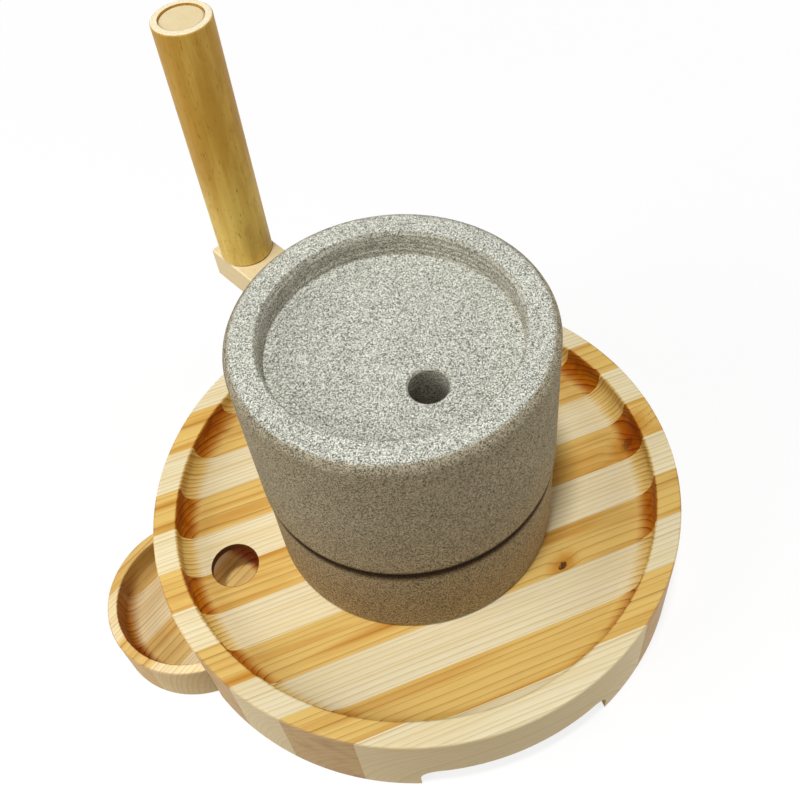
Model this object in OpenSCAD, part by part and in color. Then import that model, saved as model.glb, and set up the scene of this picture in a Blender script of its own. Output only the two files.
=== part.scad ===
// Table-top stone coffee mill, in millimetres.
// A round tray glued up from pine boards carries a fixed bed stone. The runner stone turns on it
// about a steel pin, cranked by a wooden arm with an upright grip. What is ground falls from between
// the stones into the tray, is swept to the drop hole and lands in a dish that slides underneath.
// The boards run along X, the dish pulls out along -X, and Z is the axis of the stones.

/* [Tray] */
// Outer diameter of the round tray
tray_d = 310; // [300:1:340]
// Height of the tray from the table to the rim
tray_h = 57; // [55:0.5:70]
// Width of the flat rim
rim_w = 14.2; // [8:0.2:18]
// Depth of the turned recess below the rim
recess_depth = 18; // [13:0.5:19]
// Radius of the cove between the recess wall and its floor
cove_r = 11.5; // [4:0.5:12]
// Rounding of the two top edges of the rim
rim_edge_r = 1.5; // [0.5:0.1:2.5]
// Width of one board of the glued panel
board_w = 26.6; // [24:0.2:28]
// Distance of the middle glue line from the axis of the tray
board_shift = 2; // [0:0.5:3]

/* [Feet] */
// Clear height of the arches between the four feet
arch_h = 19; // [12:0.5:24]
// Radius in the upper corners of an arch
arch_r = 10; // [4:0.5:12]

/* [Drop hole] */
// Diameter of the hole through the tray floor
drop_d = 28; // [20:0.5:32]
// Distance of the middle of the hole from the wall of the recess
drop_inset = 27.8; // [27:0.2:33]

/* [Dish] */
// Outer diameter of the dish
dish_d = 102; // [96:0.5:104]
// Height of the dish
dish_h = 31; // [24:0.5:34]
// Thickness of the dish wall
dish_wall = 6; // [4:0.5:9]
// Thickness of the dish floor
dish_floor = 7; // [4:0.5:10]
// Radius of the cove inside the dish
dish_cove_r = 9; // [3:0.5:12]
// Rounding of the edges of the dish
dish_edge_r = 1; // [0.4:0.1:1.8]
// Room beside the dish in its bay, on each side
dish_side_gap = 4; // [2:0.5:5]
// Room above the dish in its bay
dish_head_gap = 3; // [2:0.5:4]
// Room behind the dish when it is pushed home
dish_stop_gap = 0.5; // [0.3:0.1:2]
// How far the dish is pulled out of its bay
dish_pull = 37.5; // [0:0.5:90]
// Angle of the boards of the dish to those of the tray
dish_turn = 31; // [0:1:60]
// Distance of the middle board of the dish from its centre
dish_board_shift = -1.1; // [-4:0.1:4]

/* [Stones] */
// Diameter of the bed stone
stone_d = 163; // [156:1:170]
// How far the runner stone stands out over the bed all round
runner_over = 1; // [0:0.25:2]
// Height of the bed stone
bed_h = 62; // [50:1:80]
// Height of the runner stone
runner_h = 97.5; // [90:0.5:110]
// Gap between the grinding faces
mill_gap = 0.6; // [0.4:0.1:0.9]
// Rounding of the top edge of the runner
runner_edge_r = 6; // [2:0.5:7]
// Rounding of the bottom edge of the runner, over the gap
runner_foot_r = 2; // [1:0.5:6]
// Rounding of the top edge of the bed stone, under the gap
bed_edge_r = 3.5; // [2:0.5:7]
// Rounding of the bottom edge of the bed stone
bed_foot_r = 3; // [1:0.5:6]
// Diameter of the basin in the top of the runner
basin_d = 130; // [116:1:138]
// Depth of the basin
basin_depth = 16; // [10:0.5:18]
// Radius between the wall and the floor of the basin
basin_cove_r = 3; // [1:0.5:6]
// Rounding of the lip of the basin
basin_lip_r = 2.5; // [1:0.5:4]
// Diameter of the feed eye
feed_d = 20.4; // [14:0.2:24]
// Distance of the feed eye from the axis
feed_x = 30; // [28:0.5:36]
// Angle from the crank arm round to the feed eye
feed_turn = 172; // [120:1:240]
// Width of the chamfer round the feed eye
feed_chamfer = 1; // [0.4:0.1:2]

/* [Grinding faces] */
// Number of harps, the groups of parallel furrows
harp_count = 8; // [6:1:10]
// Number of furrows in one harp
furrow_count = 3; // [1:1:3]
// Width of a furrow
furrow_w = 4; // [2:0.2:5]
// Depth of a furrow at its steep side
furrow_depth = 1.6; // [0.8:0.1:2.4]
// Distance from one furrow of a harp to the next
furrow_pitch = 15; // [12:0.5:18]
// Distance at which the first furrow of a harp passes the axis
furrow_draught = 12; // [4:0.5:16]
// Radius at which the furrows start
furrow_start_r = 34; // [30:1:44]
// Land left between a furrow and the next harp
furrow_land = 4; // [2:0.5:8]
// Diameter of the hollow in the runner that draws the feed in
swallow_d = 96; // [88:1:110]
// Depth of that hollow
swallow_depth = 5; // [3:0.5:8]
// Diameter of the flat roof of that hollow
swallow_roof_d = 44; // [36:1:60]

/* [Pin and bushes] */
// Diameter of the steel centre pin
pin_d = 12; // [8:0.5:16]
// Outer diameter of the two bushes
bush_d = 22; // [20:0.5:28]
// Height of one bush
bush_h = 28; // [22:1:34]
// Thickness of the closed end of a bush
bush_end = 4; // [2:0.5:6]
// Radial clearance of the pin in its bushes
pin_clear = 0.05; // [0.02:0.01:0.1]
// Clearance at each end of the pin
pin_end_gap = 0.1; // [0.05:0.05:0.3]
// Bedding gap round a bush in its stone
bush_bed_gap = 0.1; // [0.05:0.05:0.3]
// Distance of the bed bush below the grinding face
bush_inset = 0.6; // [0.2:0.1:2]

/* [Crank] */
// Direction of the crank arm as the mill stands
crank_turn = 112.4; // [0:0.1:360]
// Distance of the grip from the axis of the stones
crank_x = 122; // [112:1:150]
// Width of the crank arm
arm_w = 28; // [24:0.5:34]
// Height of the crank arm
arm_h = 19; // [14:0.5:24]
// Distance of the arm below the top of the runner
arm_drop = 27.6; // [24:0.1:36]
// Length of the arm beyond the middle of the grip
arm_tail = 14; // [12:0.5:24]
// Depth of the socket in the side of the runner
socket_depth = 42; // [28:1:46]
// Gap round the arm in its socket
socket_fit = 0.1; // [0.05:0.05:0.3]
// Chamfer along the edges of the arm
arm_edge = 0.8; // [0.3:0.1:2]

/* [Grip] */
// Outer diameter of the grip
grip_d = 29; // [26:0.5:34]
// Length of the grip
grip_l = 143.5; // [100:0.5:160]
// Rounding of the ends of the grip
grip_edge_r = 1; // [0.4:0.1:2]
// Running gap between the grip and the arm
grip_gap = 0.3; // [0.2:0.1:0.8]
// Diameter of the spindle inside the grip
spindle_d = 22; // [17:0.5:23]
// Radial clearance of the grip on the spindle
spindle_clear = 0.1; // [0.04:0.01:0.1]
// Distance of the spindle's end below the top of the grip
spindle_inset = 0.6; // [0.2:0.1:3]
// Diameter of the tenon that holds the spindle in the arm
tenon_d = 14; // [10:0.5:15]
// Glue gap round the tenon
tenon_gap = 0.05; // [0.02:0.01:0.1]

/* [Hidden] */
$fn = 96;
// How far a cutting solid reaches past the face that it opens
over = 1;
dish_boards = 5;

tray_r = tray_d / 2;
recess_r = tray_r - rim_w;
floor_z = tray_h - recess_depth;
drop_x = recess_r - drop_inset;
// Boards on each side of the middle glue line: a strip under half a board is left to its neighbour
boards_below = round((tray_r + board_shift) / board_w);
boards_above = round((tray_r - board_shift) / board_w);
tray_boards = boards_below + boards_above;

dish_r = dish_d / 2;
arch_w = dish_d + 2 * dish_side_gap;
bay_z = dish_h + dish_head_gap;
// The dish is home when its edge is flush with the edge of the tray
dish_home_x = tray_r - dish_r;
bay_end_x = dish_home_x + dish_side_gap - dish_stop_gap;
dish_x = dish_home_x + dish_pull;

stone_r = stone_d / 2;
runner_r = stone_r + runner_over;
bed_z = floor_z + bed_h;
runner_z = bed_z + mill_gap;
runner_top = runner_z + runner_h;
harp_angle = 360 / harp_count;

bed_bush_z = bed_z - bush_inset - bush_h;
runner_bush_z = runner_z + swallow_depth;
pin_z = bed_bush_z + bush_end + pin_end_gap;
pin_top = runner_bush_z + bush_h - bush_end - pin_end_gap;
bush_bore_d = pin_d + 2 * pin_clear;
pin_chamfer = pin_d / 8;

arm_top = runner_top - arm_drop;
arm_z = arm_top - arm_h;
arm_in = runner_r - socket_depth + socket_fit;
socket_w = arm_w + 2 * socket_fit;
arm_out = crank_x + arm_tail;
grip_z = arm_top + grip_gap;
grip_bore_r = spindle_d / 2 + spindle_clear;
spindle_top = grip_z + grip_l - spindle_inset;
spindle_chamfer = 1;

pale_pine = "#F0DFB4";
honey_pine = "#D9A65C";
grey_stone = "#A8A9A2";
steel = "#B8BCC0";
bronze = "#B08D4F";
beech = "#F2E4C4";
bamboo = "#B08A3C";

function board_name(k) = str("tray_board_", k < 9 ? "0" : "", k + 1);
function dish_name(k) = str("dish_board_", k + 1);
TRAY_NODES = [for (k = [0 : tray_boards - 1]) board_name(k)];
DISH_NODES = [for (k = [0 : dish_boards - 1]) dish_name(k)];
MILL_NODES = ["bed_stone", "bed_bush", "centre_pin", "runner_stone", "runner_bush",
              "crank_arm", "spindle", "grip_sleeve"];

// What a quarter round of radius r takes off a square corner whose sides lie at r
module corner_waste(r) {
    difference() {
        square(r + over);
        circle(r);
    }
}

// Half section of a turned hollow: a flat floor, a cove and an upright wall, open at the top
module hollow_section(r, depth, cove) {
    square([r - cove, depth + over]);
    translate([0, cove]) square([r, depth - cove + over]);
    translate([r - cove, cove]) circle(cove);
}

// Half section of a turned vessel with a hollow, its lip rounded on both sides
module vessel_section(r, h, hollow_r, depth, cove, outer_edge, inner_edge) {
    difference() {
        square([r, h]);
        translate([0, h - depth]) hollow_section(hollow_r, depth, cove);
        translate([r - outer_edge, h - outer_edge]) corner_waste(outer_edge);
        translate([hollow_r + inner_edge, h - inner_edge]) mirror([1, 0]) corner_waste(inner_edge);
    }
}

// Slab that one board of a glued panel fills: the first and last boards run out to the edge.
// Of the boards, below lie on the lower side of the line at shift, counted in board widths
module board_slab(k, count, below, shift, r, h) {
    low = k == 0 ? -r - over : shift + (k - below) * board_w;
    high = k == count - 1 ? r + over : shift + (k + 1 - below) * board_w;
    translate([-r - over, low, -over]) cube([2 * (r + over), high - low, h + 2 * over]);
}

// Channel milled right across the underside along X, rounded in its upper corners
module arch_channel() {
    half = arch_w / 2;
    rotate([90, 0, 90]) linear_extrude(tray_d + 2 * over, center = true) {
        translate([-half, -over]) square([arch_w, arch_h - arch_r + over]);
        translate([arch_r - half, -over]) square([arch_w - 2 * arch_r, arch_h + over]);
        for (side = [-1, 1]) translate([side * (half - arch_r), arch_h - arch_r]) circle(arch_r);
    }
}

// Bay in which the dish slides, open at the edge of the tray and round at its inner end
module dish_bay() {
    translate([-bay_end_x, 0, -over]) cylinder(d = arch_w, h = bay_z + over);
    translate([-tray_r - over, -arch_w / 2, -over]) cube([tray_r + over - bay_end_x, arch_w, bay_z + over]);
}

// The tray as one turned and milled panel, before it is parted into boards
module tray_panel() {
    difference() {
        rotate_extrude()
            vessel_section(tray_r, tray_h, recess_r, recess_depth, cove_r, rim_edge_r, rim_edge_r);
        arch_channel();
        rotate(90) arch_channel();
        dish_bay();
        translate([-drop_x, board_shift, 0]) cylinder(d = drop_d, h = tray_h);
    }
}

// One board of the tray, pale and honey-coloured in turn
module tray_board(k) {
    color((k - boards_below) % 2 == 0 ? pale_pine : honey_pine) intersection() {
        tray_panel();
        board_slab(k, tray_boards, boards_below, board_shift, tray_r, tray_h);
    }
}

// The dish as one turned blank, its outer bottom edge rounded as the lip is
module dish_blank() {
    rotate_extrude() difference() {
        vessel_section(dish_r, dish_h, dish_r - dish_wall, dish_h - dish_floor, dish_cove_r,
                       dish_edge_r, dish_edge_r);
        translate([dish_r - dish_edge_r, dish_edge_r]) mirror([0, 1]) corner_waste(dish_edge_r);
    }
}

// One board of the dish, in the colours of the tray
module dish_board(k) {
    color(k % 2 == 0 ? honey_pine : pale_pine) translate([-dish_x, 0, 0]) rotate(dish_turn) intersection() {
        dish_blank();
        board_slab(k, dish_boards, dish_boards / 2, dish_board_shift, dish_r, dish_h);
    }
}

// One furrow along X: a steep side down to its full depth and a ramp back up to the land
module furrow(start, end) {
    translate([start, 0, 0]) rotate([90, 0, 90]) linear_extrude(end - start)
        polygon([[0, -furrow_depth], [furrow_w, 0], [furrow_w, over], [0, over]]);
}

// Where furrow number i of a harp starts: outside the eye, and clear of the next harp
function furrow_in(y) =
    max(sqrt(max(0, furrow_start_r ^ 2 - y ^ 2)),
        ((y + furrow_w) * cos(harp_angle) - furrow_draught + furrow_land) / sin(harp_angle));

// The dressing of one grinding face, cut down from z = 0
module dressing() {
    for (h = [0 : harp_count - 1], i = [0 : furrow_count - 1]) {
        y = furrow_draught + i * furrow_pitch;
        rotate(h * harp_angle) translate([0, y, 0]) furrow(furrow_in(y), runner_r + over);
    }
}

// The fixed lower stone, standing on the floor of the tray
module bed_stone() {
    color(grey_stone) translate([0, 0, floor_z]) difference() {
        rotate_extrude() difference() {
            square([stone_r, bed_h]);
            translate([stone_r - bed_edge_r, bed_h - bed_edge_r]) corner_waste(bed_edge_r);
            translate([stone_r - bed_foot_r, bed_foot_r]) mirror([0, 1]) corner_waste(bed_foot_r);
        }
        translate([0, 0, bed_h]) dressing();
        translate([0, 0, bed_bush_z - floor_z]) cylinder(d = bush_d + 2 * bush_bed_gap, h = bed_h);
    }
}

// A bush closed at its lower end
module bush() {
    color(bronze) difference() {
        cylinder(d = bush_d, h = bush_h);
        translate([0, 0, bush_end]) cylinder(d = bush_bore_d, h = bush_h);
    }
}

// Bush set into the bed, closed at the bottom so that the pin stands in it
module bed_bush() {
    translate([0, 0, bed_bush_z]) bush();
}

// Bush set into the roof of the swallow, closed at the top so that the runner rides on the pin
module runner_bush() {
    translate([0, 0, runner_bush_z + bush_h]) mirror([0, 0, 1]) bush();
}

// Steel pin that centres the runner, chamfered at both ends
module centre_pin() {
    flat_d = pin_d - 2 * pin_chamfer;
    color(steel) translate([0, 0, pin_z]) {
        cylinder(d1 = flat_d, d2 = pin_d, h = pin_chamfer);
        translate([0, 0, pin_chamfer]) cylinder(d = pin_d, h = pin_top - pin_z - 2 * pin_chamfer);
        translate([0, 0, pin_top - pin_z - pin_chamfer]) cylinder(d1 = pin_d, d2 = flat_d, h = pin_chamfer);
    }
}

// Hollow under the runner that narrows outwards, so that the feed is drawn in and cracked
module swallow() {
    translate([0, 0, -over]) cylinder(d = swallow_roof_d, h = swallow_depth + over);
    cylinder(d1 = swallow_d, d2 = swallow_roof_d, h = swallow_depth);
}

// Feed eye through the runner, its upper edge broken
module feed_eye() {
    chamfer_d = feed_d + 2 * (feed_chamfer + over);
    rotate(crank_turn + feed_turn) translate([feed_x, 0, 0]) {
        translate([0, 0, -over]) cylinder(d = feed_d, h = runner_h + over);
        translate([0, 0, runner_h - basin_depth - feed_chamfer])
            cylinder(d1 = feed_d, d2 = chamfer_d, h = feed_chamfer + over);
    }
}

// The turning upper stone: basin and eye above, socket in its side, dressed face below
module runner_stone() {
    color(grey_stone) translate([0, 0, runner_z]) difference() {
        rotate_extrude() difference() {
            vessel_section(runner_r, runner_h, basin_d / 2, basin_depth, basin_cove_r,
                           runner_edge_r, basin_lip_r);
            translate([runner_r - runner_foot_r, runner_foot_r]) mirror([0, 1]) corner_waste(runner_foot_r);
        }
        rotate([180, 0, 0]) dressing();
        swallow();
        cylinder(d = bush_d + 2 * bush_bed_gap, h = swallow_depth + bush_h + bush_bed_gap);
        feed_eye();
        rotate(crank_turn) translate([runner_r - socket_depth, -socket_w / 2, arm_z - socket_fit - runner_z])
            cube([runner_r, socket_w, arm_h + 2 * socket_fit]);
    }
}

// Wooden bar driven into the side of the runner, with a hole for the spindle's tenon
module crank_arm() {
    w = arm_w / 2;
    h = arm_h / 2;
    c = arm_edge;
    color(beech) rotate(crank_turn) difference() {
        translate([arm_in, 0, arm_z + h]) rotate([90, 0, 90]) linear_extrude(arm_out - arm_in)
            polygon([[c - w, -h], [w - c, -h], [w, c - h], [w, h - c],
                     [w - c, h], [c - w, h], [-w, h - c], [-w, c - h]]);
        translate([crank_x, 0, arm_z - over]) cylinder(d = tenon_d + 2 * tenon_gap, h = arm_h + 2 * over);
    }
}

// Fixed dowel on which the grip turns, its shoulder on the arm and its tenon through it
module spindle() {
    color(beech) rotate(crank_turn) translate([crank_x, 0, 0]) {
        translate([0, 0, arm_z]) cylinder(d = tenon_d, h = arm_h);
        translate([0, 0, arm_top]) cylinder(d = spindle_d, h = spindle_top - spindle_chamfer - arm_top);
        translate([0, 0, spindle_top - spindle_chamfer])
            cylinder(d1 = spindle_d, d2 = spindle_d - 2 * spindle_chamfer, h = spindle_chamfer);
    }
}

// Length of bamboo that turns on the spindle, its two ends rounded outside
module grip_sleeve() {
    r = grip_d / 2;
    e = grip_edge_r;
    color(bamboo) rotate(crank_turn) translate([crank_x, 0, grip_z]) rotate_extrude() difference() {
        translate([grip_bore_r, 0]) square([r - grip_bore_r, grip_l]);
        translate([r - e, grip_l - e]) corner_waste(e);
        translate([r - e, e]) mirror([0, 1]) corner_waste(e);
    }
}

for (k = [0 : tray_boards - 1]) tray_board(k);
for (k = [0 : dish_boards - 1]) dish_board(k);
bed_stone();
bed_bush();
centre_pin();
runner_stone();
runner_bush();
crank_arm();
spindle();
grip_sleeve();
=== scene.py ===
import math
from functools import partial

import bpy
from mathutils import Matrix, Vector


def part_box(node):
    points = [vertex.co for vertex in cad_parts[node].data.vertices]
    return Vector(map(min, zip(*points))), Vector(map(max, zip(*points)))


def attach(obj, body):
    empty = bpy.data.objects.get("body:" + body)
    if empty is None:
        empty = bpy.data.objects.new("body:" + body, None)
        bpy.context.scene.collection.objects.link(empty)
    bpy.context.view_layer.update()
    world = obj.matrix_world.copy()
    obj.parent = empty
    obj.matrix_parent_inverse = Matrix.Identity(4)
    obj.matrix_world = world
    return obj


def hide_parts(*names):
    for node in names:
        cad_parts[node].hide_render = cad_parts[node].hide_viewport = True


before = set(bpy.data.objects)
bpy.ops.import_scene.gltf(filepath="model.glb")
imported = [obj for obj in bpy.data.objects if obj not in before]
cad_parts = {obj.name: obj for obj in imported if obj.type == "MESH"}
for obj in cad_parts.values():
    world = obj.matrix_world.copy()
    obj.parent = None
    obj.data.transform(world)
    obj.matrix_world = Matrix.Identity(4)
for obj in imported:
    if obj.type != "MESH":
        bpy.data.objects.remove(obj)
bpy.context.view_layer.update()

# Tray.
# A round panel of pine boards, glued edge to edge with pale sapwood and honey-coloured heartwood in
# turn, then turned on a lathe, milled underneath, sanded and rubbed with oil.
MM = 0.001
TRAY_BOARDS = sorted(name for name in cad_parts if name.startswith("tray_board"))
# The board on the far side of the middle glue line gives the width of a board and the place of that line
board_low, board_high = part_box("tray_board_07")
BOARD_WIDTH = (board_high.y - board_low.y) / MM
TRAY_GLUE_LINE = (0, board_low.y, 0)
TRAY_RADIUS = board_high.x
PANEL_MIDDLE = board_high.z / MM / 2
# The drop hole, whose wall is darkened with painted shade: its middle from the glue line and its radius
DROP_HOLE = (-113, 0, 14)
# Two knots show on the honey boards: distance along, distance across, radius and how dark the heart is
TRAY_KNOTS = [(62.3, -76.2, 1.7, 0.9), (134.6, -18.3, 2.6, 0.45)]
# How far the pith of the log lay from a board, in millimetres
PITH_NEAR = 70
PITH_FAR = 160
KNOT_LEAN = -0.5
KNOT_STRETCH = (0.6, 1, 0)
# Only the plan counts where a distance from an upright axis is measured
FLAT = (1, 1, 0)


def linear(code):
    """An sRGB hex colour as the linear RGBA that shader sockets take."""
    parts = [int(code[i:i + 2], 16) / 255 for i in (1, 3, 5)]
    return [c / 12.92 if c <= 0.04045 else ((c + 0.055) / 1.055) ** 2.4 for c in parts] + [1]


def add_node(tree, kind, inputs=(), out=0, **settings):
    """Adds a node with its settings, links or sets its inputs and gives back one of its outputs."""
    made = tree.nodes.new(kind)
    for key, value in settings.items():
        setattr(made, key, value)
    for key, value in inputs.items() if isinstance(inputs, dict) else enumerate(inputs):
        if isinstance(value, bpy.types.NodeSocket):
            tree.links.new(value, made.inputs[key])
        else:
            made.inputs[key].default_value = value
    return made.outputs[out] if made.outputs else made


def mix(node, share, first, second, kind="MIX"):
    """Mixes two colours, each given as linear RGBA or as a socket."""
    return node("ShaderNodeMix", {0: share, 6: first, 7: second}, out=2, data_type="RGBA", blend_type=kind)


def fade(node, value, start, end, low=0, high=1, kind="LINEAR"):
    """Maps a value from the span between start and end to the span between low and high."""
    inputs = {"Value": value, "From Min": start, "From Max": end, "To Min": low, "To Max": high}
    return node("ShaderNodeMapRange", inputs, interpolation_type=kind)


def grain_scale(along, across, axis=0):
    """Factors that make a pattern so many millimetres long along the grain and so many wide across it."""
    factors = [1 / across] * 3
    factors[axis] = 1 / along
    return factors


def new_material(name, constants):
    """A material with one Principled shader, whose even values are set on its own sockets."""
    material = bpy.data.materials.new(name)
    material.use_nodes = True
    shader = material.node_tree.nodes["Principled BSDF"]
    for key, value in constants.items():
        shader.inputs[key].default_value = value
    return material, material.node_tree, shader


def pine(name, colours, ring, sharp, lean_range, wave, centre, radius, glue_line, turn, seed,
         knots=(), hole=None, front_shade=1):
    """Oiled pine. Growth rings are 3-D shells round a far pith, so they run straight along the boards,
    bend where a cove cuts them, and the end grain inside the panel soaks up the oiling and goes dark. The
    rings lie about ring mm apart and wander by wave mm, and a higher sharp gives them thinner lines."""
    material, tree, shader = new_material(name, {"Specular IOR Level": 0.14})
    node = partial(add_node, tree)
    early, late, streak_colour, end_colour, knot_colour, outer_shade_colour = [linear(c) for c in colours]
    local = node("ShaderNodeTexCoord", out="Object")
    local = node("ShaderNodeMapping", {0: local, "Location": glue_line, "Rotation": (0, 0, turn)},
                 vector_type="TEXTURE")
    local = node("ShaderNodeVectorMath", {0: local, "Scale": 1 / MM}, operation="SCALE")
    along, across, up = node("ShaderNodeSeparateXYZ", [local]).node.outputs
    board = node("ShaderNodeMath", [across, BOARD_WIDTH], operation="DIVIDE")
    board = node("ShaderNodeMath", [board], operation="FLOOR")
    key = node("ShaderNodeMath", [board, seed], operation="ADD")
    luck = node("ShaderNodeTexWhiteNoise", {"W": key}, out="Color", noise_dimensions="1D")
    lean_luck, tone_luck, place_luck = node("ShaderNodeSeparateColor", [luck]).node.outputs
    inside = node("ShaderNodeMath", [across, BOARD_WIDTH], operation="FLOORED_MODULO")
    inside = node("ShaderNodeMath", [inside, BOARD_WIDTH / 2], operation="SUBTRACT")
    height = node("ShaderNodeMath", [up, PANEL_MIDDLE], operation="SUBTRACT")
    point = node("ShaderNodeCombineXYZ", [along, inside, height])
    # The rings lean from upright by the way the board was sawn, and are shells round the pith of the log
    lean = fade(node, lean_luck, 0, 1, lean_range[0], lean_range[1])
    turned = node("ShaderNodeVectorRotate", {"Vector": point, "Angle": lean}, rotation_type="X_AXIS")
    _, through, round_pith = node("ShaderNodeSeparateXYZ", [turned]).node.outputs
    pith = fade(node, tone_luck, 0, 1, 1 / (2 * PITH_FAR), 1 / (2 * PITH_NEAR))
    bow = node("ShaderNodeMath", [round_pith, 2], operation="POWER")
    depth = node("ShaderNodeMath", [bow, pith, through], operation="MULTIPLY_ADD")
    shift = node("ShaderNodeCombineXYZ", [0, key, place_luck])
    slow = node("ShaderNodeVectorMath", [point, grain_scale(160, 34), shift], operation="MULTIPLY_ADD")
    wander = node("ShaderNodeTexNoise", {"Vector": slow, "Scale": 1, "Detail": 2})
    depth = node("ShaderNodeMath", [wander, wave, depth], operation="MULTIPLY_ADD")
    # Knots are ragged ovals, and the rings swerve round them
    rough = node("ShaderNodeTexNoise", {"Vector": local, "Scale": 1 / 1.6, "Detail": 2})
    knot_core, knot_halo = 0, 0
    for x, y, size, dark in knots:
        offset = node("ShaderNodeVectorMath", [local, (-x, -y, 0)], operation="ADD")
        offset = node("ShaderNodeVectorRotate", {"Vector": offset, "Angle": KNOT_LEAN},
                      rotation_type="Z_AXIS")
        offset = node("ShaderNodeVectorMath", [offset, KNOT_STRETCH], operation="MULTIPLY")
        reach = node("ShaderNodeVectorMath", [offset], out="Value", operation="LENGTH")
        reach = node("ShaderNodeMath", [rough, 1.6 * size, reach], operation="MULTIPLY_ADD")
        near = fade(node, reach, size, 7 * size, 1, 0, kind="SMOOTHERSTEP")
        core = fade(node, reach, 1.5 * size, 2.1 * size, dark, 0, kind="SMOOTHSTEP")
        depth = node("ShaderNodeMath", [near, 1.2 * size, depth], operation="MULTIPLY_ADD")
        knot_halo = node("ShaderNodeMath", [near, knot_halo], operation="MAXIMUM")
        knot_core = node("ShaderNodeMath", [core, knot_core], operation="MAXIMUM")
    # Each board starts in another year, years are unequally wide, and some end in a darker line
    rings = node("ShaderNodeMath", [depth, ring], operation="DIVIDE")
    rings = node("ShaderNodeMath", [place_luck, 40, rings], operation="MULTIPLY_ADD")
    uneven = node("ShaderNodeTexNoise", {"W": rings, "Scale": 0.45, "Detail": 1}, noise_dimensions="1D")
    rings = node("ShaderNodeMath", [uneven, 1.3, rings], operation="MULTIPLY_ADD")
    year = node("ShaderNodeMath", [rings], operation="FLOOR")
    weight = node("ShaderNodeTexWhiteNoise", {"W": year}, noise_dimensions="1D")
    weight = fade(node, weight, 0, 1, 0.45, 1)
    summer = node("ShaderNodeMath", [rings], operation="FRACT")
    line = node("ShaderNodeMath", [summer, sharp], operation="POWER")
    summer = node("ShaderNodeMath", [summer, 0.1], operation="MULTIPLY")
    line = node("ShaderNodeMath", [line, weight, summer], operation="MULTIPLY_ADD")
    # Fibres are drawn 0.5 mm wide, several times their real width, so that they show
    thin = node("ShaderNodeVectorMath", [point, grain_scale(14, 0.5), shift], operation="MULTIPLY_ADD")
    fibre = node("ShaderNodeTexNoise", {"Vector": thin, "Scale": 1, "Detail": 3, "Roughness": 0.6})
    wide = node("ShaderNodeVectorMath", [point, grain_scale(130, 8), shift], operation="MULTIPLY_ADD")
    streak = node("ShaderNodeTexNoise", {"Vector": wide, "Scale": 1, "Detail": 2})
    streak = fade(node, streak, 0.45, 0.75)
    streak = node("ShaderNodeMath", [knot_halo, streak], operation="MAXIMUM")
    # How far a face cuts across the grain: its lines are stronger there
    facing = node("ShaderNodeTexCoord", out="Normal")
    end = node("ShaderNodeVectorMath", [facing, (math.cos(turn), math.sin(turn), 0)], out="Value",
               operation="DOT_PRODUCT")
    end = node("ShaderNodeMath", [end], operation="ABSOLUTE")
    end = fade(node, end, 0.12, 0.72, kind="SMOOTHSTEP")
    # The outer side, facing away from the middle of the panel, loses the dark end grain and gets painted
    # shade
    middle = node("ShaderNodeTexCoord", out="Object")
    middle = node("ShaderNodeVectorMath", [middle, [-c for c in centre]], operation="ADD")
    middle = node("ShaderNodeVectorMath", [middle, FLAT], operation="MULTIPLY")
    rim = node("ShaderNodeVectorMath", [middle], out="Value", operation="LENGTH")
    rim = fade(node, rim, 0.95 * radius, 0.97 * radius)
    middle = node("ShaderNodeVectorMath", [middle], operation="NORMALIZE")
    outer = node("ShaderNodeVectorMath", [facing, middle], out="Value", operation="DOT_PRODUCT")
    outer = fade(node, outer, 0.3, 0.8)
    outer = node("ShaderNodeMath", [outer, rim], operation="MULTIPLY")
    inner = node("ShaderNodeMath", [1, outer], operation="SUBTRACT")
    end = node("ShaderNodeMath", [end, inner], operation="MULTIPLY")
    wood = mix(node, streak, early, streak_colour)
    end_line = node("ShaderNodeMath", [end, 1.1, 0.75], operation="MULTIPLY_ADD")
    end_line = node("ShaderNodeMath", [line, end_line], operation="MULTIPLY", use_clamp=True)
    wood = mix(node, end_line, wood, late)
    wood = mix(node, end, wood, end_colour, "MULTIPLY")
    # Painted shade: the wall of the hole is darkened
    if hole:
        reach = node("ShaderNodeVectorMath", [local, (-hole[0], -hole[1], 0)], operation="ADD")
        reach = node("ShaderNodeVectorMath", [reach, FLAT], operation="MULTIPLY")
        reach = node("ShaderNodeVectorMath", [reach], out="Value", operation="LENGTH")
        hole_wall_shade = fade(node, reach, hole[2] + 0.3, hole[2] + 0.1)
        wood = mix(node, hole_wall_shade, wood, linear("#6E3C16"), "MULTIPLY")
    wood = mix(node, knot_core, wood, knot_colour)
    # Painted shade: the boards towards the front are darker
    painted_front_shade = fade(node, board, -4, -1, front_shade, 1)
    wood = node("ShaderNodeVectorMath", {0: wood, "Scale": painted_front_shade}, operation="SCALE")
    # Painted shade on the outer side: its colour is mixed in at a little over half
    outer = node("ShaderNodeMath", [outer, 0.55], operation="MULTIPLY")
    wood = mix(node, outer, wood, outer_shade_colour)
    tone = fade(node, fibre, 0.25, 0.75, 0.93, 1.05)
    board_tone = fade(node, tone_luck, 0, 1, 0.94, 1.03)
    tone = node("ShaderNodeMath", [tone, board_tone], operation="MULTIPLY")
    wood = node("ShaderNodeVectorMath", {0: wood, "Scale": tone}, operation="SCALE")
    tree.links.new(wood, shader.inputs["Base Color"])
    gloss = fade(node, fibre, 0, 1, 0.42, 0.58)
    tree.links.new(gloss, shader.inputs["Roughness"])
    relief = node("ShaderNodeMath", [fibre, 0.5, line], operation="MULTIPLY_ADD")
    relief = node("ShaderNodeBump", {"Height": relief, "Strength": 0.25, "Distance": 0.15 * MM})
    tree.links.new(relief, shader.inputs["Normal"])
    return material


# Early wood, late wood, resinous streak, tint of the end grain, knot, and painted shade of the outer side
PALE_COLOURS = ("#F6E8C0", "#CBAA6E", "#F0DCA8", "#FFEAB0", "#7A4A20", "#CCB88E")
HONEY_COLOURS = ("#EEC872", "#A05E1A", "#D0902E", "#D69836", "#3A1E10", "#A48B70")
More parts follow.
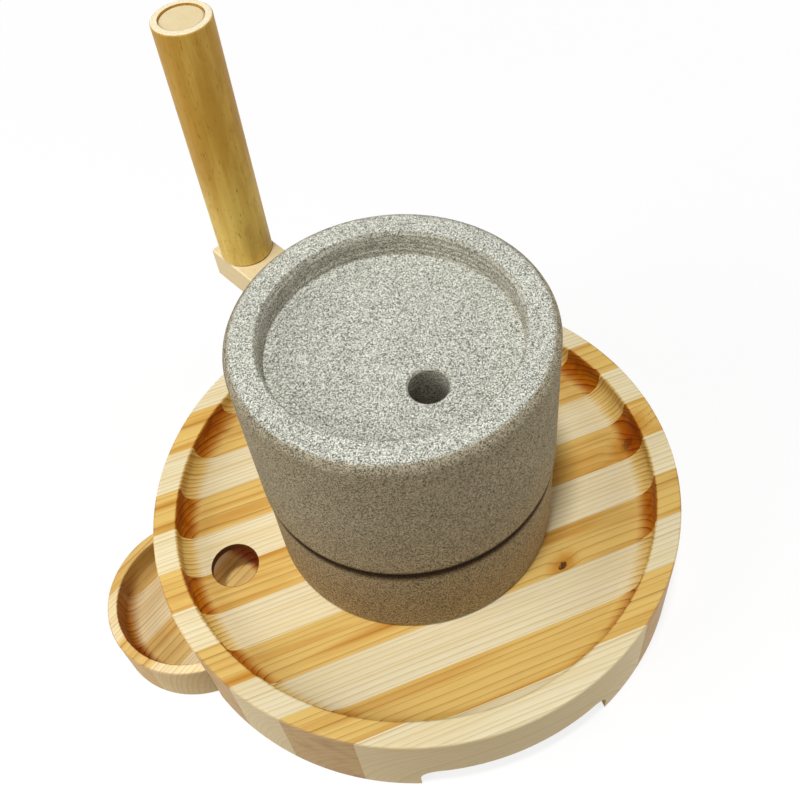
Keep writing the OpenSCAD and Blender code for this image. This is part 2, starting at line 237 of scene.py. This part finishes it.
# Pale boards are sawn with upright rings, honey ones with leaning rings
PALE_LEAN = (-0.45, 0.1)
HONEY_LEAN = (-1.05, -0.5)
TRAY_PLACE = {"centre": (0, 0, 0), "radius": TRAY_RADIUS, "glue_line": TRAY_GLUE_LINE, "turn": 0,
              "hole": DROP_HOLE}
tray_pale = pine("Pale pine, tray", PALE_COLOURS, ring=2.5, sharp=4, lean_range=PALE_LEAN, wave=2, seed=3,
                 front_shade=0.86, **TRAY_PLACE)
tray_honey = pine("Honey pine, tray", HONEY_COLOURS, ring=3.3, sharp=8, lean_range=HONEY_LEAN, wave=4,
                  seed=11, knots=TRAY_KNOTS, front_shade=0.84, **TRAY_PLACE)
for number, name in enumerate(TRAY_BOARDS):
    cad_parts[name].material_slots[0].material = tray_honey if number % 2 else tray_pale

# Bed stone.
# The fixed lower stone, sawn from grey granite, turned, its top face dressed with furrows and its side
# left as the tool leaves it, with pits where soft grains fell out. It stands on the floor of the tray.
# Spacing of the skin's points along its section, and the number of points round it
STONE_STEP = 1.0
STONE_SEGMENTS = 420
WHITE = (1, 1, 1, 1)
COARSE_GRAIN = 0.58
FINE_GRAIN = 0.36
# Heights between which level faces come free of painted shade, and between which that shade turns from grey
# to brown
LIT_FROM, LIT_TO = 130, 170
GREY_FROM, BROWN_TO = 150, 60
# Distances from the axis: inside these the basin's wall has half the painted shade, outside those the
# joint's band lies
BASIN_LIT_FROM, BASIN_LIT_TO = 72, 68
EDGE_FROM, EDGE_TO = 70, 77
# How far the joint's dark band, stain and painted shade, reaches below and above it, and where it is full
JOINT_DARK_BELOW, FULL_BELOW = 9, 2.5
JOINT_DARK_ABOVE, FULL_ABOVE = 5, 1.5
# How far the weathered skin lies inside the sawn solid, so that it replaces the solid's own skin
SKIN = 0.03
# Points closer than this are one, and edges flatter than this are shaded smooth
WELD = 0.001 * MM
SOFT_ANGLE = math.radians(38)
# Where the sawn solid keeps its own face, the skin stands this far off it, with points this far apart
CLEAR = 1
WIDE_STEP = 20


def granite(name, joint):
    """Grey granite, fine-grained: pale feldspar, glassy grey quartz and black mica, under 1 mm each.
    Up close it is a salt-and-pepper speckle without gloss, from a step away an even grey. Round the joint
    between the stones, at the given height, it is stained brown from use and darkened by painted shade."""
    material, tree, shader = new_material(name, {"Roughness": 0.86, "Specular IOR Level": 0.12})
    node = partial(add_node, tree)
    point = node("ShaderNodeTexCoord", out="Object")
    point = node("ShaderNodeVectorMath", {0: point, "Scale": 1 / MM}, operation="SCALE")
    coarse = node("ShaderNodeTexVoronoi", {"Vector": point, "Scale": 1 / COARSE_GRAIN}, out="Color")
    fine = node("ShaderNodeTexVoronoi", {"Vector": point, "Scale": 1 / FINE_GRAIN}, out="Color")
    coarse_luck, spar_luck, _ = node("ShaderNodeSeparateColor", [coarse]).node.outputs
    fine_luck, mica_luck, _ = node("ShaderNodeSeparateColor", [fine]).node.outputs
    blend = node("ShaderNodeMix", {0: 0.55, 2: coarse_luck, 3: fine_luck}, data_type="FLOAT")
    blend = fade(node, blend, 0.15, 0.85, kind="SMOOTHSTEP")
    stone = mix(node, blend, linear("#5E5E54"), linear("#FAFBED"))
    spar = fade(node, spar_luck, 0.86, 0.9)
    stone = mix(node, spar, stone, linear("#DCDCD0"))
    mica = fade(node, mica_luck, 0.91, 0.94)
    stone = mix(node, mica, stone, linear("#403F3B"))
    cloud = node("ShaderNodeTexNoise", {"Vector": point, "Scale": 1 / 28, "Detail": 3})
    cloud = fade(node, cloud, 0.3, 0.7, 0.94, 1.04)
    stone = node("ShaderNodeVectorMath", {0: stone, "Scale": cloud}, operation="SCALE")
    # Painted shade: the side is darker than the level faces on top, and browner downwards, which is painted
    # light bounced from the wood. The basin's wall gets half the shade.
    level = node("ShaderNodeTexCoord", out="Normal")
    level = node("ShaderNodeVectorMath", [level, (0, 0, 1)], out="Value", operation="DOT_PRODUCT")
    level = fade(node, level, 0.82, 0.98)
    reach = node("ShaderNodeVectorMath", [point, FLAT], operation="MULTIPLY")
    reach = node("ShaderNodeVectorMath", [reach], out="Value", operation="LENGTH")
    basin = fade(node, reach, BASIN_LIT_FROM, BASIN_LIT_TO, 0, 0.5)
    lit_face = node("ShaderNodeMath", [level, basin], operation="MAXIMUM")
    height = node("ShaderNodeSeparateXYZ", [point], out="Z")
    high = fade(node, height, LIT_FROM, LIT_TO)
    lit_face = node("ShaderNodeMath", [lit_face, high], operation="MULTIPLY")
    low = fade(node, height, GREY_FROM, BROWN_TO)
    stain_and_shade = mix(node, low, linear("#C8BCAA"), linear("#C6AA84"))
    stain_and_shade = mix(node, lit_face, stain_and_shade, WHITE)
    dusty = node("ShaderNodeMath", [lit_face, -0.12, 0.12], operation="MULTIPLY_ADD")
    stone = mix(node, dusty, stone, linear("#ADADA3"))
    # The joint's band is partly stain from use and partly painted shade under the runner's edge
    below = fade(node, height, joint - JOINT_DARK_BELOW, joint - FULL_BELOW, kind="SMOOTHSTEP")
    above = fade(node, height, joint + JOINT_DARK_ABOVE, joint + FULL_ABOVE, kind="SMOOTHSTEP")
    edge = fade(node, reach, EDGE_FROM, EDGE_TO)
    brown = node("ShaderNodeMath", [below, above], operation="MINIMUM")
    brown = node("ShaderNodeMath", [brown, edge], operation="MULTIPLY")
    stain_and_shade = mix(node, brown, stain_and_shade, linear("#463222"))
    stone = node("ShaderNodeVectorMath", [stone, stain_and_shade], operation="MULTIPLY")
    tree.links.new(stone, shader.inputs["Base Color"])
    grit = node("ShaderNodeTexNoise", {"Vector": point, "Scale": 1 / 0.8, "Detail": 3, "Roughness": 0.7})
    grit = node("ShaderNodeMath", [coarse_luck, 0.5, grit], operation="MULTIPLY_ADD")
    grit = node("ShaderNodeBump", {"Height": grit, "Strength": 0.4, "Distance": 0.25 * MM})
    tree.links.new(grit, shader.inputs["Normal"])
    return material


def section(corners):
    """Points of a half section through square corners, each given as (distance from the axis, height,
    rounding, spacing of the points up to the next corner), in millimetres."""
    corners = [(Vector((r, 0, z)), rounding, spacing) for r, z, rounding, spacing in corners]
    points = [corners[0][0]]
    for i in range(1, len(corners)):
        here, rounding, _ = corners[i]
        back = (corners[i - 1][0] - here).normalized() * rounding
        start = here + back
        stretch = start - points[-1]
        count = max(1, round(stretch.length / corners[i - 1][2]))
        points += [points[-1] + stretch * (k / count) for k in range(1, count)] + [start]
        if rounding:
            ahead = (corners[i + 1][0] - here).normalized() * rounding
            centre = here + back + ahead
            count = max(3, round(rounding * math.pi / 2 / STONE_STEP))
            turns = [math.pi / 2 * k / count for k in range(1, count + 1)]
            points += [centre - ahead * math.cos(a) - back * math.sin(a) for a in turns]
    return [point * MM for point in points]


def stone_tree():
    """Geometry nodes that turn a half section into a stone, pit and groove its skin, and keep what lies
    inside the sawn solid, which brings the eye, the socket, the bores and the dressed face."""
    tree = bpy.data.node_groups.new("Turned stone", "GeometryNodeTree")
    for label, kind in (("Section", "Geometry"), ("Sawn stone", "Object"), ("Segments", "Int"),
                        ("Pit spacing", "Float"), ("Pit depth", "Float"), ("Grit depth", "Float"),
                        ("Groove pitch", "Float"), ("Groove depth", "Float"), ("Seed", "Float"),
                        ("Stone", "Material")):
        tree.interface.new_socket(label, in_out="INPUT", socket_type="NodeSocket" + kind)
    tree.interface.new_socket("Geometry", in_out="OUTPUT", socket_type="NodeSocketGeometry")
    node = partial(add_node, tree)
    given = node("NodeGroupInput").node.outputs
    rows = node("GeometryNodeAttributeDomainSize", [given["Section"]])
    columns = node("ShaderNodeMath", [given["Segments"], 1], operation="ADD")
    sheet = node("GeometryNodeMeshGrid", {"Vertices X": rows, "Vertices Y": columns})
    index = node("GeometryNodeInputIndex")
    row = node("ShaderNodeMath", [index, columns], operation="DIVIDE")
    row = node("ShaderNodeMath", [row], operation="FLOOR")
    column = node("ShaderNodeMath", [index, columns], operation="FLOORED_MODULO")
    place = node("GeometryNodeInputPosition")
    place = node("GeometryNodeSampleIndex", [given["Section"], place, row], data_type="FLOAT_VECTOR")
    angle = node("ShaderNodeMath", [column, given["Segments"]], operation="DIVIDE")
    angle = node("ShaderNodeMath", [angle, math.tau], operation="MULTIPLY")
    place = node("ShaderNodeVectorRotate", {"Vector": place, "Angle": angle}, rotation_type="Z_AXIS")
    skin = node("GeometryNodeSetPosition", {"Geometry": sheet, "Position": place})
    skin = node("GeometryNodeMergeByDistance", {"Geometry": skin, "Distance": WELD})
    # Pits: one in four cells of a Voronoi pattern has one, of its own width
    point = node("GeometryNodeInputPosition")
    drift = node("ShaderNodeCombineXYZ", [given["Seed"], given["Seed"], given["Seed"]])
    moved = node("ShaderNodeVectorMath", [point, drift], operation="ADD")
    cells = node("ShaderNodeMath", [1, given["Pit spacing"]], operation="DIVIDE")
    pits = node("ShaderNodeTexVoronoi", {"Vector": moved, "Scale": cells}).node.outputs
    luck, *_ = node("FunctionNodeSeparateColor", [pits["Color"]]).node.outputs
    width = fade(node, luck, 0.75, 1, 0, 0.28)
    width = node("ShaderNodeMath", [width, 0.001], operation="MAXIMUM")
    pit = node("ShaderNodeMath", [pits["Distance"], width], operation="DIVIDE")
    pit = node("ShaderNodeMath", [pit, pit], operation="MULTIPLY")
    pit = node("ShaderNodeMath", [1, pit], operation="SUBTRACT", use_clamp=True)
    pit = node("ShaderNodeMath", [pit, given["Pit depth"]], operation="MULTIPLY")
    grit = node("ShaderNodeTexNoise", {"Vector": moved, "Scale": 1 / (3.5 * MM), "Detail": 2})
    depth = node("ShaderNodeMath", [grit, given["Grit depth"], pit], operation="MULTIPLY_ADD")
    # Grooves of the turning tool, only on the wall that faces the axis: they change fast with the height
    # and slowly round the wall
    normal = node("GeometryNodeInputNormal")
    outward = node("ShaderNodeVectorMath", [point, FLAT], operation="MULTIPLY")
    outward = node("ShaderNodeVectorMath", [outward], operation="NORMALIZE")
    inner = node("ShaderNodeVectorMath", [normal, outward], out="Value", operation="DOT_PRODUCT")
    inner = fade(node, inner, -0.35, -0.9)
    ridges = node("ShaderNodeMath", [1, given["Groove pitch"]], operation="DIVIDE")
    ridges = node("ShaderNodeCombineXYZ", [6, 6, ridges])
    ridges = node("ShaderNodeVectorMath", [moved, ridges], operation="MULTIPLY")
    ridges = node("ShaderNodeTexNoise", {"Vector": ridges, "Scale": 1, "Detail": 1})
    ridges = fade(node, ridges, 0.35, 0.65)
    ridges = node("ShaderNodeMath", [ridges, inner], operation="MULTIPLY")
    depth = node("ShaderNodeMath", [ridges, given["Groove depth"], depth], operation="MULTIPLY_ADD")
    depth = node("ShaderNodeMath", [depth, -1], operation="MULTIPLY")
    offset = node("ShaderNodeVectorMath", {0: normal, "Scale": depth}, operation="SCALE")
    skin = node("GeometryNodeSetPosition", {"Geometry": skin, "Offset": offset})
    sawn = node("GeometryNodeObjectInfo", [given["Sawn stone"]], out="Geometry")
    sawn = node("GeometryNodeMergeByDistance", {"Geometry": sawn, "Distance": WELD})
    stone = node("GeometryNodeMeshBoolean", operation="INTERSECT", solver="MANIFOLD").node
    tree.links.new(sawn, stone.inputs["Mesh 2"])
    tree.links.new(skin, stone.inputs["Mesh 2"])
    edge = node("GeometryNodeInputMeshEdgeAngle")
    soft = node("FunctionNodeCompare", [edge, SOFT_ANGLE], operation="LESS_THAN")
    shaded = node("GeometryNodeSetShadeSmooth", {"Geometry": stone.outputs[0], "Shade Smooth": soft},
                  domain="EDGE")
    shaded = node("GeometryNodeRealizeInstances", [shaded])
    shaded = node("GeometryNodeSetMaterial", {"Geometry": shaded, "Material": given["Stone"]})
    node("NodeGroupOutput", [shaded])
    return tree


turned_stone = stone_tree()


def turn_stone(name, cad_node, body, corners, values):
    """Makes a stone piece from its half section, in the place of its CAD node."""
    points = section(corners)
    mesh = bpy.data.meshes.new(name)
    mesh.from_pydata(points, [(i, i + 1) for i in range(len(points) - 1)], [])
    piece = bpy.data.objects.new(name, mesh)
    bpy.context.scene.collection.objects.link(piece)
    modifier = piece.modifiers.new("Turned stone", "NODES")
    modifier.node_group = turned_stone
    values = dict(values, **{"Sawn stone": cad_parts[cad_node], "Segments": STONE_SEGMENTS})
    for item in turned_stone.interface.items_tree:
        if item.in_out == "INPUT" and item.name in values:
            modifier[item.identifier] = values[item.name]
    graph = bpy.context.evaluated_depsgraph_get()
    piece.data = bpy.data.meshes.new_from_object(piece.evaluated_get(graph))
    piece.modifiers.clear()
    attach(piece, body)
    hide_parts(cad_node)


bed_low, bed_high = (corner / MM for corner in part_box("bed_stone"))
stone = granite("Grey granite", bed_high.z)
BED_RADIUS = bed_high.x - SKIN
BED_EDGE = 3.5
BED_FOOT = 3
bed_corners = [
    (0, bed_high.z + CLEAR, 0, WIDE_STEP),
    (BED_RADIUS - BED_EDGE - CLEAR, bed_high.z + CLEAR, 0, STONE_STEP),
    (BED_RADIUS - BED_EDGE - CLEAR, bed_high.z - SKIN, 0, STONE_STEP),
    (BED_RADIUS, bed_high.z - SKIN, BED_EDGE, STONE_STEP),
    (BED_RADIUS, bed_low.z + SKIN, BED_FOOT, STONE_STEP),
    (BED_RADIUS - BED_FOOT - CLEAR, bed_low.z + SKIN, 0, STONE_STEP),
    (BED_RADIUS - BED_FOOT - CLEAR, bed_low.z - CLEAR, 0, WIDE_STEP),
    (0, bed_low.z - CLEAR, 0, WIDE_STEP),
]
WEATHER = {"Pit spacing": 6 * MM, "Pit depth": 0.7 * MM, "Grit depth": 0.12 * MM, "Stone": stone}
turn_stone("bed_stone_turned", "bed_stone", "base", bed_corners, dict(WEATHER, Seed=0.31))

# Bushes and centre pin.
# A bronze bush is set into each stone, and a steel pin stands in the lower one. The runner's bush is
# closed at the top, so that the runner rides on the pin and keeps its gap.


def turned_metal(name, colour, roughness):
    """Metal turned on a lathe and left bare: fine rings round the axis, slightly dulled by handling."""
    material, tree, shader = new_material(name, {"Metallic": 1.0})
    node = partial(add_node, tree)
    point = node("ShaderNodeTexCoord", out="Object")
    rings = node("ShaderNodeVectorMath", [point, (20, 20, 1 / (0.25 * MM))], operation="MULTIPLY")
    rings = node("ShaderNodeTexNoise", {"Vector": rings, "Scale": 1, "Detail": 2})
    dull = node("ShaderNodeTexNoise", {"Vector": point, "Scale": 1 / (9 * MM), "Detail": 3})
    tone = fade(node, dull, 0, 1, 0.75, 1.1)
    metal = node("ShaderNodeVectorMath", {0: linear(colour)[:3], "Scale": tone}, operation="SCALE")
    tree.links.new(metal, shader.inputs["Base Color"])
    gloss = fade(node, rings, 0, 1, roughness - 0.1, roughness + 0.12)
    tree.links.new(gloss, shader.inputs["Roughness"])
    relief = node("ShaderNodeBump", {"Height": rings, "Strength": 0.3, "Distance": 0.05 * MM})
    tree.links.new(relief, shader.inputs["Normal"])
    return material


bronze = turned_metal("Turned bronze", "#C79A58", 0.35)
for name in ("bed_bush", "runner_bush"):
    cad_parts[name].material_slots[0].material = bronze
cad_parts["centre_pin"].material_slots[0].material = turned_metal("Turned steel", "#C9CBCD", 0.28)

# Runner stone.
# The turning upper stone, from the same granite: a feed basin is turned into its top, with tool
# grooves left on the wall, an eye leads down to the dressed face, and its edges are rounded off.
RUNNER_EDGE = 6
RUNNER_FOOT = 2
BASIN_RADIUS = 65 + SKIN
BASIN_DEPTH = 16 + SKIN
BASIN_COVE = 1
BASIN_LIP = 2.5
runner_low, runner_high = (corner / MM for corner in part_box("runner_stone"))
RUNNER_RADIUS = runner_high.x - SKIN
runner_corners = [
    (0, runner_high.z - BASIN_DEPTH, 0, 2 * STONE_STEP),
    (BASIN_RADIUS, runner_high.z - BASIN_DEPTH, BASIN_COVE, STONE_STEP / 2),
    (BASIN_RADIUS, runner_high.z - SKIN, BASIN_LIP, STONE_STEP),
    (RUNNER_RADIUS, runner_high.z - SKIN, RUNNER_EDGE, STONE_STEP),
    (RUNNER_RADIUS, runner_low.z + SKIN, RUNNER_FOOT, STONE_STEP),
    (RUNNER_RADIUS - RUNNER_FOOT - CLEAR, runner_low.z + SKIN, 0, STONE_STEP),
    (RUNNER_RADIUS - RUNNER_FOOT - CLEAR, runner_low.z - CLEAR, 0, WIDE_STEP),
    (0, runner_low.z - CLEAR, 0, WIDE_STEP),
]
turn_stone("runner_stone_turned", "runner_stone", "runner", runner_corners,
           dict(WEATHER, **{"Groove pitch": 2.4 * MM, "Groove depth": 0.75 * MM, "Seed": 0.77}))

# Crank arm and spindle.
# A planed bar of pale beech is driven into the socket in the runner's side, and a beech dowel is glued
# through its outer end. The grip turns on that dowel.


def beech(name, turn, axis):
    """Planed beech, bare: cream, with fine fibres and the short brown dashes of its rays."""
    material, tree, shader = new_material(name, {"Roughness": 0.55})
    node = partial(add_node, tree)
    point = node("ShaderNodeTexCoord", out="Object")
    point = node("ShaderNodeMapping", {0: point, "Rotation": turn}, vector_type="TEXTURE")
    point = node("ShaderNodeVectorMath", {0: point, "Scale": 1 / MM}, operation="SCALE")
    fibre = node("ShaderNodeVectorMath", [point, grain_scale(22, 0.45, axis)], operation="MULTIPLY")
    fibre = node("ShaderNodeTexNoise", {"Vector": fibre, "Scale": 1, "Detail": 3})
    band = node("ShaderNodeVectorMath", [point, grain_scale(120, 6, axis)], operation="MULTIPLY")
    band = node("ShaderNodeTexNoise", {"Vector": band, "Scale": 1, "Detail": 2})
    dash = node("ShaderNodeVectorMath", [point, grain_scale(2.6, 0.5, axis)], operation="MULTIPLY")
    dash = node("ShaderNodeTexNoise", {"Vector": dash, "Scale": 1, "Detail": 0})
    dash = fade(node, dash, 0.66, 0.76, 0, 0.35)
    wood = mix(node, band, linear("#EADBB4"), linear("#DEC690"))
    wood = mix(node, dash, wood, linear("#B98F58"))
    tone = fade(node, fibre, 0.25, 0.75, 0.95, 1.03)
    wood = node("ShaderNodeVectorMath", {0: wood, "Scale": tone}, operation="SCALE")
    tree.links.new(wood, shader.inputs["Base Color"])
    relief = node("ShaderNodeBump", {"Height": fibre, "Strength": 0.25, "Distance": 0.1 * MM})
    tree.links.new(relief, shader.inputs["Normal"])
    return material


CRANK_TURN = math.radians(112.4)
arm_beech = beech("Planed beech", (0, 0, CRANK_TURN), 0)
spindle_beech = beech("Beech dowel", (0, 0, 0), 2)
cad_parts["crank_arm"].material_slots[0].material = arm_beech
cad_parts["spindle"].material_slots[0].material = spindle_beech

# Grip.
# A length of bamboo cane with its hard skin sanded off and oiled, which turns on the dowel. Its top
# end is cut square and shows the paler ends of the fibres, made paler still with a painted highlight.
grip_low, grip_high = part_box("grip_sleeve")


def bamboo(name, low, high):
    """Sanded bamboo: golden, paler towards its foot with painted light bounced from the arm and the stone,
    in long fibre bundles with soft smears and dark flecks, and pale where it is cut, partly a painted
    highlight."""
    material, tree, shader = new_material(name, {"Roughness": 0.48, "Specular IOR Level": 0.25})
    node = partial(add_node, tree)
    point = node("ShaderNodeTexCoord", out="Object")
    foot = ((low.x + high.x) / 2, (low.y + high.y) / 2, low.z)
    point = node("ShaderNodeMapping", {0: point, "Location": foot}, vector_type="TEXTURE")
    point = node("ShaderNodeVectorMath", {0: point, "Scale": 1 / MM}, operation="SCALE")
    # Painted light: the cane is paler towards its foot, where light bounces from the arm and the stone
    height = node("ShaderNodeSeparateXYZ", [point], out="Z")
    height = fade(node, height, 18, 90, kind="SMOOTHSTEP")
    fibre = node("ShaderNodeVectorMath", [point, grain_scale(30, 0.6, 2)], operation="MULTIPLY")
    fibre = node("ShaderNodeTexNoise", {"Vector": fibre, "Scale": 1, "Detail": 3})
    band = node("ShaderNodeVectorMath", [point, grain_scale(60, 7, 2)], operation="MULTIPLY")
    band = node("ShaderNodeTexNoise", {"Vector": band, "Scale": 1, "Detail": 3})
    band = fade(node, band, 0.3, 0.7, 0, 0.5)
    band = node("ShaderNodeMath", [height, 0.7, band], operation="MULTIPLY_ADD", use_clamp=True)
    smear = node("ShaderNodeVectorMath", [point, grain_scale(16, 9, 2)], operation="MULTIPLY")
    smear = node("ShaderNodeTexNoise", {"Vector": smear, "Scale": 1, "Detail": 4, "Roughness": 0.6})
    smear = fade(node, smear, 0.5, 0.75, 0, 0.45)
    fleck = node("ShaderNodeVectorMath", [point, grain_scale(5, 0.8, 2)], operation="MULTIPLY")
    fleck = node("ShaderNodeTexNoise", {"Vector": fleck, "Scale": 1, "Detail": 1})
    fleck = fade(node, fleck, 0.64, 0.74, 0, 0.6)
    cane = mix(node, band, linear("#F0D270"), linear("#BE9236"))
    cane = mix(node, smear, cane, linear("#A87C2A"))
    cane = mix(node, fleck, cane, linear("#8A5E1E"))
    # The cut end: the paler fibre ends, made paler still with a painted highlight
    up = node("ShaderNodeTexCoord", out="Normal")
    up = node("ShaderNodeVectorMath", [up, (0, 0, 1)], out="Value", operation="DOT_PRODUCT")
    up = fade(node, up, 0.6, 0.95)
    dots = node("ShaderNodeTexVoronoi", {"Vector": point, "Scale": 1 / 0.8})
    dots = fade(node, dots, 0.25, 0.4)
    cut = mix(node, dots, linear("#E6CD98"), linear("#F8ECCB"))
    cane = mix(node, up, cane, cut)
    tone = fade(node, fibre, 0.25, 0.75, 0.9, 1.06)
    cane = node("ShaderNodeVectorMath", {0: cane, "Scale": tone}, operation="SCALE")
    tree.links.new(cane, shader.inputs["Base Color"])
    relief = node("ShaderNodeBump", {"Height": fibre, "Strength": 0.2, "Distance": 0.1 * MM})
    tree.links.new(relief, shader.inputs["Normal"])
    return material


cane = bamboo("Oiled bamboo", grip_low, grip_high)
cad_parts["grip_sleeve"].material_slots[0].material = cane

# Dish.
# A small dish that stands on the table under the tray and catches what falls through the drop hole.
# It is turned from an offcut of the same panel, so its boards lie at another angle.
DISH_TURN = math.radians(31)
DISH_BOARDS = sorted(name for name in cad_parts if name.startswith("dish_board"))
dish_low = Vector(min(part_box(name)[0][i] for name in DISH_BOARDS) for i in range(3))
dish_high = Vector(max(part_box(name)[1][i] for name in DISH_BOARDS) for i in range(3))
dish_middle = (dish_low + dish_high) / 2
dish_radius = (dish_high.x - dish_low.x) / 2
# The middle board lies a little off the middle of the dish, and a glue line half a board further on
DISH_BOARD_SHIFT = -1.1
line_shift = (DISH_BOARD_SHIFT - BOARD_WIDTH / 2) * MM
dish_line = (dish_middle.x - line_shift * math.sin(DISH_TURN),
             dish_middle.y + line_shift * math.cos(DISH_TURN), 0)
# The end-grain tints are darker than the tray's: end grain, with painted shade on the dish's walls
# The last colour is painted shade of the outer side, as on the tray
DISH_HONEY = ("#ECCA80", "#97642A", "#D8A650", "#B26616", "#4A2812", "#B89C72")
DISH_PALE = ("#F8E4B4", "#C29E62", "#E8CE98", "#C88E38", "#7A4A20", "#BCA47A")
DISH_PLACE = {"centre": dish_middle, "radius": dish_radius, "glue_line": dish_line, "turn": DISH_TURN}
dish_pale = pine("Pale pine, dish", DISH_PALE, ring=2.5, sharp=4, lean_range=PALE_LEAN, wave=2, seed=29,
                 **DISH_PLACE)
dish_honey = pine("Honey pine, dish", DISH_HONEY, ring=3.6, sharp=7, lean_range=HONEY_LEAN, wave=3, seed=41,
                  **DISH_PLACE)
for number, name in enumerate(DISH_BOARDS):
    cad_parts[name].material_slots[0].material = dish_pale if number % 2 else dish_honey

# Studio.
# A white floor that keeps the shadow, a small lamp overhead, slightly in front, and a weak broad one on
# each side. Eyes, gloss and glass see the floor and the world as white, other rays see them dimmer.
FLOOR_REACH = 4.0
FLOOR_DROP = 0.2 * MM
FLOOR_CORNERS = [(-1, -1), (1, -1), (1, 1), (-1, 1)]


def white_rays(node):
    """1 for the rays that see white: those of the camera, of reflections and through glass."""
    seen = node("ShaderNodeLightPath").node.outputs
    shown = node("ShaderNodeMath", [seen["Is Camera Ray"], seen["Is Glossy Ray"]], operation="MAXIMUM")
    return node("ShaderNodeMath", [shown, seen["Is Transmission Ray"]], operation="MAXIMUM")


floor_mesh = bpy.data.meshes.new("floor")
floor_points = [(x * FLOOR_REACH, y * FLOOR_REACH, -FLOOR_DROP) for x, y in FLOOR_CORNERS]
floor_mesh.from_pydata(floor_points, [], [(0, 1, 2, 3)])
floor = bpy.data.objects.new("floor", floor_mesh)
bpy.context.scene.collection.objects.link(floor)
floor_paint = bpy.data.materials.new("White floor")
floor_paint.use_nodes = True
tree = floor_paint.node_tree
tree.nodes.remove(tree.nodes["Principled BSDF"])
node = partial(add_node, tree)
shown = white_rays(node)
paint = mix(node, shown, linear("#C0B299"), WHITE)
matt = node("ShaderNodeBsdfDiffuse", [paint])
glow = node("ShaderNodeEmission", {"Color": WHITE, "Strength": 1.0})
# Far from the object the floor only glows, so that it runs into the white world without a line
place = node("ShaderNodeTexCoord", out="Object")
place = node("ShaderNodeVectorMath", [place], out="Value", operation="LENGTH")
share = fade(node, place, 0.35, 1.0, 0.82, 1, kind="SMOOTHSTEP")
share = node("ShaderNodeMath", [shown, share], operation="MULTIPLY")
mixed = node("ShaderNodeMixShader", [share, matt, glow])
tree.links.new(mixed, tree.nodes["Material Output"].inputs["Surface"])
floor.data.materials.append(floor_paint)

world = bpy.data.worlds.new("Studio")
bpy.context.scene.world = world
world.use_nodes = True
tree = world.node_tree
node = partial(add_node, tree)
shown = white_rays(node)
level = fade(node, shown, 0, 1, 0.12, 1.0)
tree.links.new(level, tree.nodes["Background"].inputs["Strength"])
tree.nodes["Background"].inputs["Color"].default_value = WHITE


def soft_lamp(name, place, aim, size, watts):
    """A square area lamp at a place, turned towards a point."""
    lamp = bpy.data.lights.new(name, "AREA")
    lamp.size = size
    lamp.energy = watts
    holder = bpy.data.objects.new(name, lamp)
    bpy.context.scene.collection.objects.link(holder)
    holder.location = place
    holder.rotation_euler = (Vector(aim) - Vector(place)).to_track_quat("-Z", "Y").to_euler()


LAMP_AIM = (0, 0, 0.1)
soft_lamp("overhead", (-0.4, -0.42, 4.0), LAMP_AIM, size=0.4, watts=95)
soft_lamp("left", (-1.5, -0.1, 0.9), LAMP_AIM, size=1.2, watts=16.5)
soft_lamp("right", (1.5, -0.9, 0.6), LAMP_AIM, size=1.2, watts=12.5)

# Camera, at the photograph's angle and distance.
CAMERA_PLACE = Vector((-80.5, -313.5, 562.6)) * MM
CAMERA_AIM = Vector((7.8, 30.4, 100)) * MM
CAMERA_ROLL = math.radians(8.07)
camera = bpy.data.objects.new("camera", bpy.data.cameras.new("camera"))
bpy.context.scene.collection.objects.link(camera)
camera.data.sensor_width = 36
camera.data.lens = 45.5
camera.data.clip_start = 0.01
aim = (CAMERA_AIM - CAMERA_PLACE).to_track_quat("-Z", "Y").to_matrix().to_4x4()
camera.matrix_world = Matrix.Translation(CAMERA_PLACE) @ aim @ Matrix.Rotation(-CAMERA_ROLL, 4, "Z")
bpy.context.scene.camera = camera
bpy.context.scene.view_settings.view_transform = "Standard"
